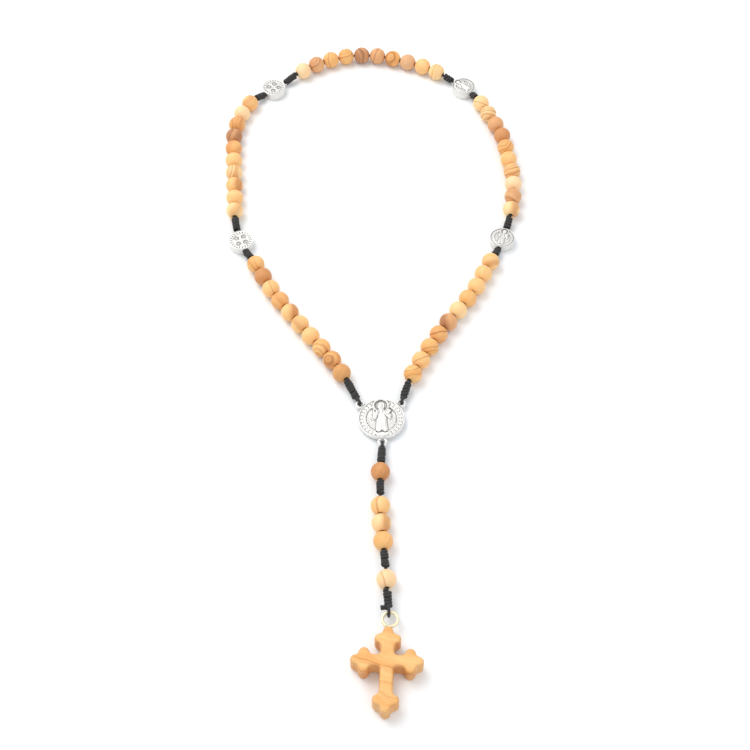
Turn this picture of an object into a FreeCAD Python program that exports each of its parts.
import FreeCAD, Part
import math
import os

from FreeCAD import Placement, Rotation, Vector

# A five-decade rosary laid out on a table, in millimetres. The origin is the middle of the centre
# medal's back, +Y runs up the loop, and +Z points up from the table.

doc = FreeCAD.newDocument("rosary")

SIZES = {
    "bead_diameter": 7.9,
    "bead_bore": 2.4,
    "bead_pitch": 8.0,
    "cord_diameter": 1.2,
    "knot_diameter": 3.2,
    "knot_round": 0.6,
    "knot_gap": 0.15,
    "cut_end_diameter": 1.8,
    "cut_end_length": 3.1,
    "medal_bead_diameter": 11.4,
    "medal_bead_thickness": 4.0,
    "medal_bead_bore": 2.4,
    "medal_bead_play": 0.45,
    "medal_diameter": 19.6,
    "medal_thickness": 3.0,
    "medal_rim_thickness": 1.8,
    "medal_back_diameter": 16.0,
    "medal_turn": 2.0,
    "eyelet_reach": 11.4,
    "eyelet_mean_radius": 1.575,
    "eyelet_wire": 1.15,
    "eyelet_level": 2.2,
    "eye_mean_radius": 2.95,
    "eye_wire": 1.4,
    "shank_length": 6.5,
    "shank_clearance": 0.02,
    "cross_thickness": 8.0,
    "cross_arm": 13.7,
    "cross_foot": 20.4,
    "arm_width": 4.7,
    "stem_width": 5.2,
    "cross_turn": -2.4,
    "cross_rounding": 1.3,
}

sheet = doc.addObject("Spreadsheet::Sheet", "Sizes")
for row, (alias, value) in enumerate(SIZES.items(), start=1):
    sheet.set(f"A{row}", alias)
    sheet.set(f"B{row}", str(value))
    sheet.setAlias(f"B{row}", alias)
doc.recompute()
size = sheet.get

BEAD = size("bead_diameter") / 2
CORD = size("cord_diameter") / 2
LAID = BEAD                                  # height of the cord's centreline through the beads
FLAT = size("medal_bead_thickness") / 2      # its height through the medal beads
HOOKED = size("eyelet_level")                # its height at the centre medal's eyelets
UP = Vector(0, 0, 1)

# Eyelets of the centre medal, as angles round it before it is turned on the table.
EYELETS = {"left": 139.0, "right": 41.0, "bottom": 270.0}

# Middle of the screw eye's ring, and the point where the cross's arms meet.
EYE_CENTRE = Vector(3.0, -92.3, LAID)
CROSSING = Vector(1.75, -110.35, size("cross_thickness") / 2)

# Each length of cord: its route from its first end, how far along it the first bead sits, and what
# it carries. A decade has ten beads, and its last bead is followed by a knot and a medal bead.
DECADES = {
    "left_lower": {
        "first_bead": 14.1,
        "eyelet": "left",
        "medal_bead": True,
        "route": [
            (-10.3, 10.1, HOOKED), (-14.9, 19.0, LAID), (-22.0, 30.8, LAID), (-31.5, 43.0, LAID),
            (-40.5, 55.5, LAID), (-48.8, 67.5, LAID), (-54.0, 77.5, LAID), (-58.0, 85.5, LAID),
            (-61.9, 91.6, FLAT), (-63.9, 97.0, FLAT), (-65.8, 102.3, FLAT),
        ],
    },
    "left_upper": {
        "first_bead": 11.85,
        "eyelet": None,
        "medal_bead": True,
        "route": [
            (-66.1, 103.1, FLAT), (-67.6, 110.6, LAID), (-68.2, 123.0, LAID), (-69.4, 137.5, LAID),
            (-70.4, 152.0, LAID), (-71.1, 165.0, LAID), (-68.0, 178.5, LAID), (-62.6, 188.4, LAID),
            (-57.3, 193.2, FLAT), (-53.0, 196.8, FLAT), (-48.7, 200.6, FLAT),
        ],
    },
    "top": {
        "first_bead": 12.0,
        "eyelet": None,
        "medal_bead": False,
        "route": [
            (-48.1, 201.2, FLAT), (-42.5, 205.6, LAID), (-31.0, 214.0, LAID), (-17.5, 219.3, LAID),
            (-3.5, 220.0, LAID), (10.5, 216.1, LAID), (23.5, 210.6, LAID), (31.2, 205.5, LAID),
            (36.6, 202.4, FLAT),
        ],
    },
    "right_lower": {
        "first_bead": 12.43,
        "eyelet": "right",
        "medal_bead": True,
        "route": [
            (9.12, 10.4, HOOKED), (11.8, 18.5, LAID), (18.0, 31.0, LAID), (25.5, 44.0, LAID),
            (34.5, 57.0, LAID), (42.2, 68.5, LAID), (46.8, 78.8, LAID), (51.0, 86.9, LAID),
            (53.7, 93.2, FLAT), (55.7, 98.5, FLAT), (57.5, 103.8, FLAT),
        ],
    },
    "right_upper": {
        "first_bead": 11.5,
        "eyelet": None,
        "medal_bead": True,
        "route": [
            (57.8, 104.6, FLAT), (59.9, 111.2, LAID), (62.1, 124.0, LAID), (62.7, 137.5, LAID),
            (60.6, 150.0, LAID), (59.3, 163.0, LAID), (53.6, 176.0, LAID), (48.2, 188.3, LAID),
            (45.3, 193.7, FLAT), (41.5, 197.8, FLAT), (37.7, 201.7, FLAT),
        ],
    },
}
BEADS_IN_DECADE = 10
PAIRS = {4: 5, 7: 8}                         # beads of a decade that share a node

PENDANT = {
    "pendant_upper": {
        "beads": ["first"],
        "first_bead": 12.95,
        "eyelet": "bottom",
        "route": [(0.25, -14.05, HOOKED), (-0.3, -22.6, LAID), (-0.7, -30.8, LAID), (-0.5, -37.8, LAID)],
    },
    "pendant_middle": {
        "beads": ["second", "third", "fourth"],
        "first_bead": 4.2,
        "eyelet": None,
        "route": [
            (-0.6, -38.5, LAID), (-0.5, -47.0, LAID), (0.3, -56.0, LAID), (0.9, -64.0, LAID),
            (1.4, -70.6, LAID),
        ],
    },
    "pendant_lower": {
        "beads": ["fifth"],
        "first_bead": 4.1,
        "eyelet": None,
        "route": [(1.5, -71.3, LAID), (1.9, -79.5, LAID), (2.55, -88.0, LAID)],
    },
}

turning = {}      # the centre and the axis that each threaded piece turns about


def add(kind, name, expressions=None, **properties):
    """Make one document object, set its properties and bind sizes to the sheet."""
    made = doc.addObject(kind, name)
    for key, value in properties.items():
        setattr(made, key, value)
    for key, text in (expressions or {}).items():
        made.setExpression(key, text)
    return made


def node(made, label):
    """Give a finished sub-part the label that names its file."""
    made.Label = label
    parts.append(made)
    return made


def along(direction):
    """Turn that takes +Z to the given direction."""
    return Rotation(UP, direction)


def lengthwise(direction):
    """Turn that takes +X to a level direction and keeps +Z up."""
    return Rotation(UP, math.degrees(math.atan2(direction.y, direction.x)))


def rounded_path(points):
    """Straight runs joined by tangent arcs, each as large as its two runs allow."""
    corners = [Vector(*p) for p in points]
    edges, radii = [], []
    start = corners[0]
    for before, corner, after in zip(corners, corners[1:], corners[2:]):
        back = before - corner
        onward = after - corner
        reach = 0.45 * min(back.Length, onward.Length)
        back.normalize()
        onward.normalize()
        half_turn = (math.pi - back.getAngle(onward)) / 2
        radius = reach / math.tan(half_turn)
        inward = (back + onward).normalize()
        middle = corner + inward * (radius / math.cos(half_turn) - radius)
        first = corner + back * reach
        last = corner + onward * reach
        edges.append(Part.LineSegment(start, first).toShape())
        edges.append(Part.Arc(first, middle, last).toShape())
        radii.append(radius)
        start = last
    edges.append(Part.LineSegment(start, corners[-1]).toShape())
    return edges, radii


def on_path(edges, distance):
    """Point and direction at a distance along the path."""
    for edge in edges:
        if distance <= edge.Length:
            here = edge.getParameterByLength(distance)
            return edge.valueAt(here), edge.tangentAt(here)
        distance -= edge.Length
    return edges[-1].valueAt(edges[-1].LastParameter), edges[-1].tangentAt(edges[-1].LastParameter)


def tube(name, edges):
    """Cord swept along a path."""
    path = doc.addObject("Part::Feature", f"{name}_path")
    path.Shape = Part.Wire(edges)
    where, direction = on_path(edges, 0)
    ring = add("Part::Circle", f"{name}_section", {"Radius": "Sizes.cord_diameter / 2"},
               Placement=Placement(where, along(direction)))
    swept = add("Part::Sweep", f"{name}_tube", Sections=[ring], Spine=(path, []), Solid=True,
                Frenet=False)
    doc.recompute()
    expected = math.pi * CORD ** 2 * path.Shape.Length
    if abs(swept.Shape.Volume - expected) > 0.02 * expected:
        raise ValueError(f"{name}: tube volume {swept.Shape.Volume:.1f}, expected {expected:.1f}")
    return swept


def knot(name, edges, start, end):
    """Barrel knot round the cord between two distances along its path."""
    low = on_path(edges, start)[0]
    high = on_path(edges, end)[0]
    barrel = add("Part::Cylinder", f"{name}_barrel", {"Radius": "Sizes.knot_diameter / 2"},
                 Height=(high - low).Length, Placement=Placement(low, along(high - low)))
    doc.recompute()
    rounding = size("knot_round")
    return add("Part::Fillet", name, Base=barrel, Edges=[(1, rounding, rounding), (3, rounding, rounding)])


def end_loop(name, hole, outward, wire_offset, wire_radius):
    """Cord bent round a ring's wire: down through its hole and back under it into a knot."""
    clearance = 0.17
    bend = wire_radius + clearance + CORD
    lean = math.radians(14.0)
    inside_knot = wire_offset + 2.5
    rise = bend * math.cos(lean)
    run = wire_offset + bend * math.sin(lean)
    end_rise = rise - (inside_knot - run) * math.tan(lean)

    def place(distance, height):
        return hole + outward * distance + UP * height

    over = Part.LineSegment(place(inside_knot, end_rise), place(run, rise)).toShape()
    round_wire = Part.Arc(place(run, rise), place(wire_offset - bend, 0), place(run, -rise)).toShape()
    under = Part.LineSegment(place(run, -rise), place(inside_knot, -end_rise)).toShape()
    return tube(name, [over, round_wire, under])


def eyelet_centre(which):
    angle = math.radians(EYELETS[which] + size("medal_turn"))
    return Vector(math.cos(angle), math.sin(angle), 0) * size("eyelet_reach") + UP * HOOKED


def bead(name, centre, axis):
    """Turned wooden bead with its bore along the cord."""
    seat = Placement(centre, along(axis))
    ball = add("Part::Sphere", f"{name}_ball", {"Radius": "Sizes.bead_diameter / 2"}, Placement=seat)
    bore_seat = Placement(centre - axis * size("bead_diameter"), along(axis))
    bore = add("Part::Cylinder", f"{name}_bore",
               {"Radius": "Sizes.bead_bore / 2", "Height": "Sizes.bead_diameter * 2"}, Placement=bore_seat)
    return add("Part::Cut", name, Base=ball, Tool=bore)


def level(direction):
    """The same direction with no slope."""
    return Vector(direction.x, direction.y, 0).normalize()


def single_bead(name, edges, distance):
    where, direction = on_path(edges, distance)
    axis = level(direction)
    centre = Vector(where.x, where.y, LAID)
    turning[name] = (centre, axis)
    node(bead(name.replace("bead", "wood"), centre, axis), name)


def bead_pair(name, edges, distance):
    """Two neighbouring beads in line with each other, as one node."""
    first = on_path(edges, distance)[0]
    second = on_path(edges, distance + size("bead_pitch"))[0]
    axis = level(second - first)
    turning[name] = (Vector(first.x, first.y, LAID), axis)
    made = []
    for count, where in enumerate([first, second], start=1):
        made.append(bead(f"{name}_wood_{count}", Vector(where.x, where.y, LAID), axis))
    node(add("Part::Compound", f"{name}_pair", Links=made), name)


def origin_plane(body, role):
    return next(o for o in body.Origin.OriginFeatures if o.Role == role)


def sketch_on(body, role, name, geometry):
    """Sketch on one of a body's own planes."""
    sketch = body.newObject("Sketcher::SketchObject", name)
    sketch.AttachmentSupport = [(origin_plane(body, role), "")]
    sketch.MapMode = "FlatFace"
    sketch.addGeometry(geometry, False)
    doc.recompute()
    return sketch


def outline(corners):
    """Closed run of straight edges through flat points."""
    flat = [Vector(x, y, 0) for x, y in corners]
    return [Part.LineSegment(a, b) for a, b in zip(flat, flat[1:] + flat[:1])]


def turned_body(name, profile):
    """Body of revolution about Z from a half profile of radius and height."""
    body = doc.addObject("PartDesign::Body", name)
    sketch = sketch_on(body, "XZ_Plane", f"{name}_profile", outline(profile))
    turned = body.newObject("PartDesign::Revolution", f"{name}_turned")
    turned.Profile = sketch
    turned.ReferenceAxis = (sketch, ["V_Axis"])
    turned.Angle = 360.0
    doc.recompute()
    return body


def medal_bead(name, centre, axis):
    """Flat round metal bead with a raised rim on each face and a bore across it."""
    radius = size("medal_bead_diameter") / 2
    half = size("medal_bead_thickness") / 2
    rim, recess, edge = 0.7, 0.35, 0.15
    floor = half - recess
    body = turned_body(f"{name}_body", [
        (0, -floor), (radius - rim - edge, -floor), (radius - rim, -half), (radius - edge, -half),
        (radius, -half + edge), (radius, half - edge), (radius - edge, half), (radius - rim, half),
        (radius - rim - edge, floor), (0, floor),
    ])
    ring = Part.Circle(Vector(0, 0, 0), UP, size("medal_bead_bore") / 2)
    sketch = sketch_on(body, "YZ_Plane", f"{name}_bore_outline", [ring])
    solid = body.Shape.Volume
    bore = body.newObject("PartDesign::Pocket", f"{name}_bore")
    bore.Profile = sketch
    bore.Type = 1
    bore.Midplane = True
    doc.recompute()
    if body.Shape.Volume > solid - 20:
        raise ValueError(f"{name}: the bore cut nothing")
    body.Placement = Placement(centre, lengthwise(axis))
    turning[name] = (centre, axis)
    node(body, name)


def centre_medal():
    """Round medal: rim, ornament band, inner ring, sunk field, robed figure and three eyelets. It is
    thin at its rim, where the back slopes up from the table."""
    radius = size("medal_diameter") / 2
    back_radius = size("medal_back_diameter") / 2
    top = size("medal_thickness")
    edge = 0.25
    rim_in, ring_out, ring_in = 9.0, 6.9, 6.3
    band, ring_top, field = top - 0.4, top - 0.05, top - 0.7
    body = turned_body("medal_disc", [
        (0, 0), (back_radius, 0), (radius, top - size("medal_rim_thickness")),
        (radius, top - edge), (radius - edge, top),
        (rim_in, top), (rim_in - edge, band), (ring_out + edge, band), (ring_out, ring_top),
        (ring_in, ring_top), (ring_in - edge, field), (0, field),
    ])
    robe = [(-1.9, -5.6), (1.9, -5.6), (1.7, -1.0), (2.0, 1.6), (0.9, 3.1), (-0.9, 3.1), (-2.0, 1.6),
            (-1.7, -1.0)]
    sketch = sketch_on(body, "XY_Plane", "robe_outline", outline(robe))
    figure = body.newObject("PartDesign::Pad", "robe")
    figure.Profile = sketch
    figure.Length = top
    doc.recompute()
    turn = Rotation(UP, size("medal_turn"))
    body.Placement = Placement(Vector(0, 0, 0), turn)
    pieces = [body]
    head = add("Part::Sphere", "medal_head", Radius=1.15,
               Placement=Placement(turn.multVec(Vector(0, 4.2, field + 0.2)), Rotation()))
    pieces.append(head)
    for which in EYELETS:
        centre = eyelet_centre(which)
        pieces.append(add("Part::Torus", f"{which}_eyelet",
                          {"Radius1": "Sizes.eyelet_mean_radius", "Radius2": "Sizes.eyelet_wire / 2"},
                          Placement=Placement(centre, Rotation())))
        outward = level(centre)
        neck_long, neck_wide, neck_tall = 1.0, 2.2, 1.1
        corner = Vector(radius - 0.6, -neck_wide / 2, HOOKED - neck_tall / 2)
        pieces.append(add("Part::Box", f"{which}_neck", Length=neck_long, Width=neck_wide,
                          Height=neck_tall,
                          Placement=Placement(lengthwise(outward).multVec(corner), lengthwise(outward))))
    node(add("Part::MultiFuse", "medal_fused", Shapes=pieces), "centre_medal")


def circle_between(first, first_radius, second, second_radius, radius):
    """Centre of a circle that touches two others from outside, to the left of the way between them."""
    ahead = second - first
    apart = ahead.Length
    ahead.normalize()
    to_first = first_radius + radius
    to_second = second_radius + radius
    along_way = (apart ** 2 + to_first ** 2 - to_second ** 2) / (2 * apart)
    off_way = math.sqrt(to_first ** 2 - along_way ** 2)
    return first + ahead * along_way + Vector(-ahead.y, ahead.x, 0) * off_way


def towards_point(centre, radius, target):
    return centre + (target - centre).normalize() * radius


def half_bud(half_width):
    """Right half of an arm's end as points three to an arc; X is inward from the tip, Y is across."""
    tip, tip_radius = Vector(1.9, 0, 0), 1.9
    bud, bud_radius = Vector(5.0, 3.05, 0), 1.95
    waist_radius, neck_radius = 2.0, 1.9
    waist = circle_between(tip, tip_radius, bud, bud_radius, waist_radius)
    rise = half_width + neck_radius - bud.y
    neck = bud + Vector(math.sqrt((bud_radius + neck_radius) ** 2 - rise ** 2), rise, 0)
    leaves_tip = towards_point(tip, tip_radius, waist)
    enters_bud = towards_point(bud, bud_radius, waist)
    leaves_bud = towards_point(bud, bud_radius, neck)
    meets_neck = neck - Vector(0, neck_radius, 0)
    return [
        leaves_tip, towards_point(waist, waist_radius, (leaves_tip + enters_bud) * 0.5),
        enters_bud, bud + Vector(0, bud_radius, 0),
        leaves_bud, towards_point(neck, neck_radius, (leaves_bud + meets_neck) * 0.5),
        meets_neck,
    ]


def arm_edges(length, half_width, towards):
    """One arm of the cross, from its right-hand neck round its budded end to its left-hand neck."""
    side = Vector(towards.y, -towards.x, 0)
    half = half_bud(half_width)
    right = [towards * (length - p.x) + side * p.y for p in reversed(half)]
    left = [towards * (length - p.x) - side * p.y for p in half]
    edges = []
    for run in (right, [right[-1], towards * length, left[0]], left):
        for first in range(0, len(run) - 2, 2):
            edges.append(Part.Arc(run[first], run[first + 1], run[first + 2]))
    return right[0], edges, left[-1]


def wooden_cross():
    """Budded cross, rounded along its edges and bored down from its top for the screw eye."""
    body = doc.addObject("PartDesign::Body", "cross_body")
    stem, arm = size("stem_width") / 2, size("arm_width") / 2
    arms = [(size("cross_arm"), stem, Vector(0, 1, 0)), (size("cross_arm"), arm, Vector(-1, 0, 0)),
            (size("cross_foot"), stem, Vector(0, -1, 0)), (size("cross_arm"), arm, Vector(1, 0, 0))]
    made = [arm_edges(*each) for each in arms]
    fillet = 1.3
    geometry = []
    for (_, edges, leaving), (arriving, _, _), (_, width, towards), (_, next_width, following) in zip(
            made, made[1:] + made[:1], arms, arms[1:] + arms[:1]):
        out_of = towards * (next_width + fillet) + following * width
        into = following * (width + fillet) + towards * next_width
        centre = towards * (next_width + fillet) + following * (width + fillet)
        middle = centre - (towards + following).normalize() * fillet
        geometry += edges
        geometry.append(Part.LineSegment(leaving, out_of))
        geometry.append(Part.Arc(out_of, middle, into))
        geometry.append(Part.LineSegment(into, arriving))
    sketch = sketch_on(body, "XY_Plane", "cross_outline", geometry)
    pad = body.newObject("PartDesign::Pad", "cross_pad")
    pad.Profile = sketch
    pad.setExpression("Length", "Sizes.cross_thickness")
    pad.Midplane = True
    doc.recompute()
    flat = [f"Face{i}" for i, face in enumerate(pad.Shape.Faces, start=1)
            if abs(abs(face.CenterOfMass.z) - size("cross_thickness") / 2) < 0.01]
    rounded = body.newObject("PartDesign::Fillet", "cross_rounding")
    rounded.Base = (pad, flat)
    rounded.setExpression("Radius", "Sizes.cross_rounding")
    doc.recompute()
    body.Placement = Placement(CROSSING, Rotation(UP, size("cross_turn")))
    pilot = add("Part::Cylinder", "pilot_hole",
                {"Radius": "Sizes.eye_wire / 2 + Sizes.shank_clearance"},
                Height=size("shank_length") + 0.5,
                Placement=Placement(shank_foot(), along(shank_direction())))
    node(add("Part::Cut", "cross_drilled", Base=body, Tool=pilot), "wooden_cross")


def shank_direction():
    return Rotation(UP, size("cross_turn")).multVec(Vector(0, 1, 0))


def shank_top():
    """Where the shank meets the ring of the screw eye, straight above the tip of the cross."""
    tip = CROSSING + shank_direction() * size("cross_arm")
    aside = (EYE_CENTRE - tip).dot(Vector(shank_direction().y, -shank_direction().x, 0))
    rise = (EYE_CENTRE - tip).dot(shank_direction())
    reach = rise - math.sqrt(size("eye_mean_radius") ** 2 - aside ** 2)
    top = tip + shank_direction() * reach
    return Vector(top.x, top.y, LAID)


def shank_foot():
    return shank_top() - shank_direction() * size("shank_length")


def screw_eye():
    """Open wire ring on a shank that is screwed into the top of the cross."""
    from_centre = shank_top() - EYE_CENTRE
    start = math.degrees(math.atan2(from_centre.y, from_centre.x))
    opening = 14.5
    ring = add("Part::Torus", "eye_ring",
               {"Radius1": "Sizes.eye_mean_radius", "Radius2": "Sizes.eye_wire / 2"},
               Angle3=360.0 - opening, Placement=Placement(EYE_CENTRE, Rotation(UP, start)))
    shank = add("Part::Cylinder", "eye_shank", {"Radius": "Sizes.eye_wire / 2",
                                                "Height": "Sizes.shank_length"},
                Placement=Placement(shank_foot(), along(shank_direction())))
    node(add("Part::MultiFuse", "eye_fused", Shapes=[ring, shank]), "screw_eye")


def cord_pieces(name, length, edges, bead_spans):
    """The tube of one length of cord with its knots and, at an eyelet, its loop."""
    made = [tube(name, edges)]
    total = sum(edge.Length for edge in edges)
    gap = size("knot_gap")
    first, last = bead_spans
    before = first - BEAD - gap
    after = last + BEAD + gap
    if before > 3:
        made.append(knot(f"{name}_knot_1", edges, 0, before))
    if total - after > 3:
        if length.get("medal_bead"):
            total -= size("medal_bead_diameter") + size("medal_bead_play")
        made.append(knot(f"{name}_knot_2", edges, after, total))
    if length["eyelet"]:
        hole = eyelet_centre(length["eyelet"])
        outward = level(on_path(edges, 0)[0] - hole)
        made.append(end_loop(f"{name}_loop", hole, outward, size("eyelet_mean_radius"),
                             size("eyelet_wire") / 2))
    return made


def decade(side, length):
    """One decade: its cord with two knots, its ten beads and the medal bead after them."""
    edges, radii = rounded_path(length["route"])
    print(f"{side}_cord", "arc radii", [round(r) for r in radii])
    pitch = size("bead_pitch")
    spans = (length["first_bead"], length["first_bead"] + pitch * (BEADS_IN_DECADE - 1))
    made = cord_pieces(side, length, edges, spans)
    node(add("Part::MultiFuse", f"{side}_fused", Shapes=made), f"{side}_cord")
    for number in range(1, BEADS_IN_DECADE + 1):
        distance = spans[0] + pitch * (number - 1)
        if number in PAIRS:
            bead_pair(f"{side}_beads_{number}_{PAIRS[number]}", edges, distance)
        elif number not in PAIRS.values():
            single_bead(f"{side}_bead_{number}", edges, distance)
    if length["medal_bead"]:
        near, middle, far = [Vector(*p) for p in length["route"][-3:]]
        medal_bead(f"{side}_medal_bead", (near + far) * 0.5, (far - near).normalize())


def pendant(name, length):
    """One length of the pendant cord with its beads."""
    edges, radii = rounded_path(length["route"])
    print(f"{name}_cord", "arc radii", [round(r) for r in radii])
    pitch = size("bead_pitch")
    spans = (length["first_bead"], length["first_bead"] + pitch * (len(length["beads"]) - 1))
    made = cord_pieces(name, length, edges, spans)
    if name == "pendant_lower":
        knot_end, direction = on_path(edges, 100)
        wire = Vector(knot_end.x, EYE_CENTRE.y + size("eye_mean_radius"), LAID)
        hole = wire - Vector(0, size("eye_mean_radius"), 0)
        made.append(end_loop(f"{name}_loop", hole, Vector(0, 1, 0), size("eye_mean_radius"),
                             size("eye_wire") / 2))
        stub_foot = knot_end - direction * 1.1
        sideways = Vector(-1, -0.1, 0).normalize()
        made.append(add("Part::Cylinder", "cut_end",
                        {"Radius": "Sizes.cut_end_diameter / 2", "Height": "Sizes.cut_end_length"},
                        Placement=Placement(stub_foot, along(sideways))))
    node(add("Part::MultiFuse", f"{name}_fused", Shapes=made), f"{name}_cord")
    for number, which in enumerate(length["beads"]):
        single_bead(f"pendant_bead_{which}", edges, spans[0] + pitch * number)


parts = []
centre_medal()
for side, length in DECADES.items():
    decade(side, length)
for name, length in PENDANT.items():
    pendant(name, length)
screw_eye()
wooden_cross()
doc.recompute()

for made in doc.Objects:
    if "Invalid" in made.State or "Error" in made.State:
        raise ValueError(f"{made.Label} failed: {made.State}")
for made in parts:
    if made.Shape.isNull() or not made.Shape.isValid():
        raise ValueError(f"{made.Label} has no valid shape")

os.makedirs("parts", exist_ok=True)
for made in parts:
    made.Shape.exportStep(f"parts/{made.Label}.step")
print(len(parts), "sub-parts written")
